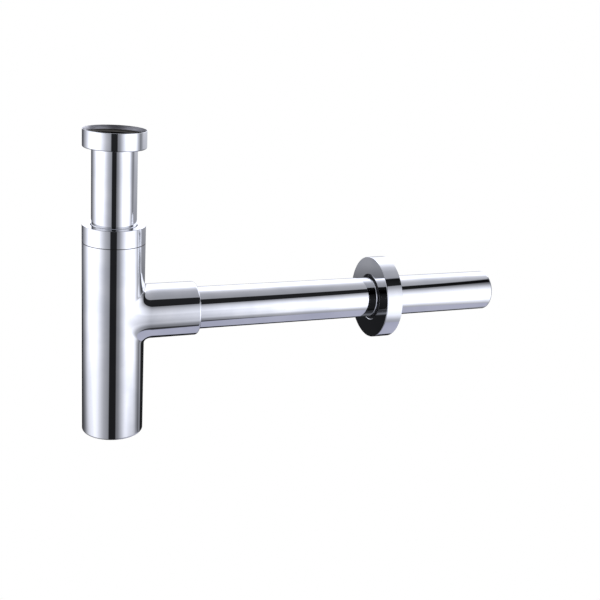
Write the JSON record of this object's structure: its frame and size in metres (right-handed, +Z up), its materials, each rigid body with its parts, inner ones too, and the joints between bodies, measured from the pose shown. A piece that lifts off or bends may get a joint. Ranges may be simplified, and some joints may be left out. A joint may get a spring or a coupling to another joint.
{
  "type": "sink trap",
  "caption": "Round bottle trap for a washbasin: union nut, sliding inlet tube, clamping cap, upright body with a side branch, outlet tube and sliding wall flange.",
  "frame": {"origin": "on the body's axis, at the mouth of the union nut's thread, 0.6 mm below the nut's top face", "axes": "+Z up the body's axis, out of the nut; +X along the outlet, towards the wall; the part is symmetrical about the XZ plane"},
  "size_m": [0.3407, 0.0652, 0.2254],
  "materials": {
    "chromed_brass": "polished",
    "black_rubber": "matte",
    "white_nylon": "satin"
  },
  "bodies": {
    "trap": {"trap_body": "chromed_brass", "outlet_ring_inner": "black_rubber", "outlet_ring_outer": "black_rubber"},
    "gland": {"cone_seal": "black_rubber"},
    "inlet": {"inlet_tube": "chromed_brass", "inlet_washer": "black_rubber"},
    "nut": {"inlet_nut": "chromed_brass"},
    "slip": {"slip_washer": "white_nylon"},
    "cap": {"cap": "chromed_brass"},
    "outlet": {"outlet_tube": "chromed_brass"},
    "flange": {"wall_flange": "chromed_brass", "flange_grip": "black_rubber"}
  },
  "joints": [
    {"name": "inlet_swivel", "type": "hinge", "parent": "trap", "child": "gland", "pos_m": [0, 0, -0.074], "axis": [0, 0, 1], "continuous": true},
    {"name": "inlet_slide", "type": "slide", "parent": "gland", "child": "inlet", "axis": [0, 0, 1], "range_m": [-0.025, 0.03]},
    {"name": "nut_spin", "type": "hinge", "parent": "inlet", "child": "nut", "pos_m": [0, 0, -0.006], "axis": [0, 0, 1], "continuous": true},
    {"name": "cap_travel", "type": "slide", "parent": "trap", "child": "slip", "axis": [0, 0, 1], "range_m": [0, 0.0081]},
    {"name": "cap_turn", "type": "hinge", "parent": "slip", "child": "cap", "pos_m": [0, 0, -0.073], "axis": [0, 0, 1], "range_deg": [0, 1920]},
    {"name": "outlet_slide", "type": "slide", "parent": "trap", "child": "outlet", "axis": [1, 0, 0], "range_m": [0, 0.02]},
    {"name": "flange_slide", "type": "slide", "parent": "outlet", "child": "flange", "axis": [1, 0, 0], "range_m": [-0.145, 0.085]}
  ],
  "couplings": [
    {"joint": "cap_travel", "follows": "cap_turn", "m_per_rad": 0.00023873}
  ]
}
